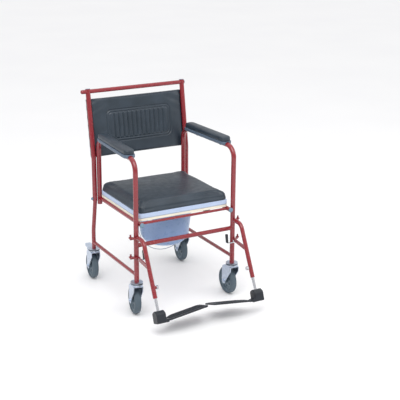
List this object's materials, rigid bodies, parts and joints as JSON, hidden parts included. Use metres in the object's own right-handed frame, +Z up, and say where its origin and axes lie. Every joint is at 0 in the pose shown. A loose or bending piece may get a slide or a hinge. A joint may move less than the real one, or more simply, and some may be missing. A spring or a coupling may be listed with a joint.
{
  "type": "commode chair",
  "caption": "Wheeled commode chair: bent-tube frame, padded back and arms, lift-off cushion over a holed seat, sliding bucket, braked castors and swing-away height-adjustable footrests.",
  "frame": {"origin": "on the floor, under the middle of the overall box", "axes": "+Z up, the chair faces -Y, +X to the right in the view from the front, which is the sitter's left"},
  "size_m": [0.55, 0.8055, 0.92],
  "materials": {
    "frame_paint": "glossy deep red powder coat",
    "upholstery_vinyl": "black vinyl with a soft sheen and fine grain",
    "seat_plastic": "light blue, satin",
    "arm_base_plastic": "blue-grey, satin",
    "board_cream": "cream, matt",
    "bucket_plastic": "blue, slightly translucent, smooth",
    "bright_steel": "bright plated steel",
    "zinc_steel": "bluish zinc plate",
    "chrome": "polished",
    "wheel_plastic": "mid grey, satin",
    "wheel_rubber": "dark grey, matt",
    "plug_plastic": "blue-grey, satin",
    "black_plastic": "black, fine texture"
  },
  "bodies": {
    "frame": {"side_frame_left": "frame_paint", "side_frame_right": "frame_paint", "rear_leg_left": "frame_paint", "rear_leg_right": "frame_paint", "cane_left": "frame_paint", "cane_right": "frame_paint", "push_bar": "frame_paint", "cross_tube_front": "frame_paint", "lower_rails": "frame_paint", "seat_rails": "frame_paint", "seat_cross_rods": "frame_paint", "tube_plugs": "plug_plastic", "joint_bolt_caps": "plug_plastic", "seat_board": "board_cream", "seat_panel": "seat_plastic", "bucket_runners": "bright_steel", "arm_bases": "arm_base_plastic", "arm_pad_left": "upholstery_vinyl", "arm_pad_right": "upholstery_vinyl", "back_panel": "upholstery_vinyl", "upholstery_screws": "bright_steel", "castor_mounts": "zinc_steel", "leg_pegs": "frame_paint"},
    "swivel_front_left": {"castor_fork_front_left": "zinc_steel", "castor_axle_front_left": "zinc_steel"},
    "wheel_front_left": {"castor_tyre_front_left": "wheel_rubber", "castor_hub_front_left": "wheel_plastic"},
    "swivel_front_right": {"castor_fork_front_right": "zinc_steel", "castor_axle_front_right": "zinc_steel"},
    "wheel_front_right": {"castor_tyre_front_right": "wheel_rubber", "castor_hub_front_right": "wheel_plastic"},
    "swivel_rear_left": {"castor_fork_rear_left": "zinc_steel", "castor_axle_rear_left": "zinc_steel"},
    "wheel_rear_left": {"castor_tyre_rear_left": "wheel_rubber", "castor_hub_rear_left": "wheel_plastic"},
    "pedal_rear_left": {"brake_pedal_rear_left": "zinc_steel"},
    "swivel_rear_right": {"castor_fork_rear_right": "zinc_steel", "castor_axle_rear_right": "zinc_steel"},
    "wheel_rear_right": {"castor_tyre_rear_right": "wheel_rubber", "castor_hub_rear_right": "wheel_plastic"},
    "pedal_rear_right": {"brake_pedal_rear_right": "zinc_steel"},
    "hanger_left": {"hanger_tube_left": "frame_paint", "hanger_bracket_left": "frame_paint"},
    "latch_left": {"hanger_latch_left": "chrome", "latch_grip_left": "black_plastic"},
    "rod_left": {"footrest_rod_left": "chrome", "footrest_heel_left": "black_plastic"},
    "plate_left": {"footplate_left": "black_plastic"},
    "knob_left": {"height_screw_left": "chrome"},
    "hanger_right": {"hanger_tube_right": "frame_paint", "hanger_bracket_right": "frame_paint"},
    "latch_right": {"hanger_latch_right": "chrome", "latch_grip_right": "black_plastic"},
    "rod_right": {"footrest_rod_right": "chrome", "footrest_heel_right": "black_plastic"},
    "plate_right": {"footplate_right": "black_plastic"},
    "knob_right": {"height_screw_right": "chrome"},
    "bucket": {"bucket": "bucket_plastic"},
    "bail": {"bucket_bail": "chrome"},
    "cushion": {"seat_cushion": "upholstery_vinyl"}
  },
  "joints": [
    {"name": "castor_swivel_front_left", "type": "hinge", "parent": "frame", "child": "swivel_front_left", "pos_m": [-0.24, -0.16, 0.148], "axis": [0, 0, 1], "continuous": true},
    {"name": "wheel_spin_front_left", "type": "hinge", "parent": "swivel_front_left", "child": "wheel_front_left", "pos_m": [-0.23392, -0.12553, 0.0625], "axis": [0.9848, -0.1736, 0], "continuous": true},
    {"name": "castor_swivel_front_right", "type": "hinge", "parent": "frame", "child": "swivel_front_right", "pos_m": [0.24, -0.16, 0.148], "axis": [0, 0, 1], "continuous": true},
    {"name": "wheel_spin_front_right", "type": "hinge", "parent": "swivel_front_right", "child": "wheel_front_right", "pos_m": [0.24061, -0.12501, 0.0625], "axis": [0.9998, -0.0175, 0], "continuous": true},
    {"name": "castor_swivel_rear_left", "type": "hinge", "parent": "frame", "child": "swivel_rear_left", "pos_m": [-0.24, 0.3, 0.148], "axis": [0, 0, 1], "continuous": true},
    {"name": "wheel_spin_rear_left", "type": "hinge", "parent": "swivel_rear_left", "child": "wheel_rear_left", "pos_m": [-0.23634, 0.33481, 0.0625], "axis": [0.9945, -0.1045, 0], "continuous": true},
    {"name": "brake_rear_left", "type": "hinge", "parent": "swivel_rear_left", "child": "pedal_rear_left", "pos_m": [-0.23686, 0.32984, 0.136], "axis": [0.9945, -0.1045, 0], "range_deg": [0, 12]},
    {"name": "castor_swivel_rear_right", "type": "hinge", "parent": "frame", "child": "swivel_rear_right", "pos_m": [0.24, 0.3, 0.148], "axis": [0, 0, 1], "continuous": true},
    {"name": "wheel_spin_rear_right", "type": "hinge", "parent": "swivel_rear_right", "child": "wheel_rear_right", "pos_m": [0.24427, 0.33474, 0.0625], "axis": [0.9925, -0.1219, 0], "continuous": true},
    {"name": "brake_rear_right", "type": "hinge", "parent": "swivel_rear_right", "child": "pedal_rear_right", "pos_m": [0.24366, 0.32978, 0.136], "axis": [0.9925, -0.1219, 0], "range_deg": [0, 12]},
    {"name": "hanger_swing_left", "type": "hinge", "parent": "frame", "child": "hanger_left", "pos_m": [-0.267, -0.16, 0.32], "axis": [0, 0, 1], "range_deg": [-90, 0]},
    {"name": "latch_release_left", "type": "hinge", "parent": "hanger_left", "child": "latch_left", "pos_m": [-0.2345, -0.179, 0.2655], "axis": [0, 0, 1], "range_deg": [-25, 0], "stiffness_Nm_per_rad": 0.05},
    {"name": "footrest_height_left", "type": "slide", "parent": "hanger_left", "child": "rod_left", "axis": [0, -0.4406, -0.8977], "range_m": [-0.03, 0.025]},
    {"name": "height_screw_turn_left", "type": "hinge", "parent": "hanger_left", "child": "knob_left", "pos_m": [-0.2265, -0.31687, 0.19], "axis": [1, 0, 0], "range_deg": [0, 720]},
    {"name": "footplate_flip_left", "type": "hinge", "parent": "rod_left", "child": "plate_left", "pos_m": [-0.21, -0.37765, 0.06202], "axis": [0, -0.9397, 0.342], "range_deg": [0, 80]},
    {"name": "hanger_swing_right", "type": "hinge", "parent": "frame", "child": "hanger_right", "pos_m": [0.267, -0.16, 0.32], "axis": [0, 0, 1], "range_deg": [0, 90]},
    {"name": "latch_release_right", "type": "hinge", "parent": "hanger_right", "child": "latch_right", "pos_m": [0.2345, -0.179, 0.2655], "axis": [0, 0, 1], "range_deg": [0, 25], "stiffness_Nm_per_rad": 0.05},
    {"name": "footrest_height_right", "type": "slide", "parent": "hanger_right", "child": "rod_right", "axis": [0, -0.4406, -0.8977], "range_m": [-0.03, 0.025]},
    {"name": "height_screw_turn_right", "type": "hinge", "parent": "hanger_right", "child": "knob_right", "pos_m": [0.2265, -0.31687, 0.19], "axis": [1, 0, 0], "range_deg": [0, 720]},
    {"name": "footplate_flip_right", "type": "hinge", "parent": "rod_right", "child": "plate_right", "pos_m": [0.21, -0.37765, 0.06202], "axis": [0, 0.9397, -0.342], "range_deg": [0, 80]},
    {"name": "bucket_slide", "type": "slide", "parent": "frame", "child": "bucket", "axis": [0, 1, 0], "range_m": [0, 0.3]},
    {"name": "bail_swing", "type": "hinge", "parent": "bucket", "child": "bail", "pos_m": [0, 0.042, 0.388], "axis": [1, 0, 0], "range_deg": [-85, 85]},
    {"name": "cushion_lift", "type": "slide", "parent": "frame", "child": "cushion", "axis": [0, 0, 1], "range_m": [0, 0.15]}
  ]
}
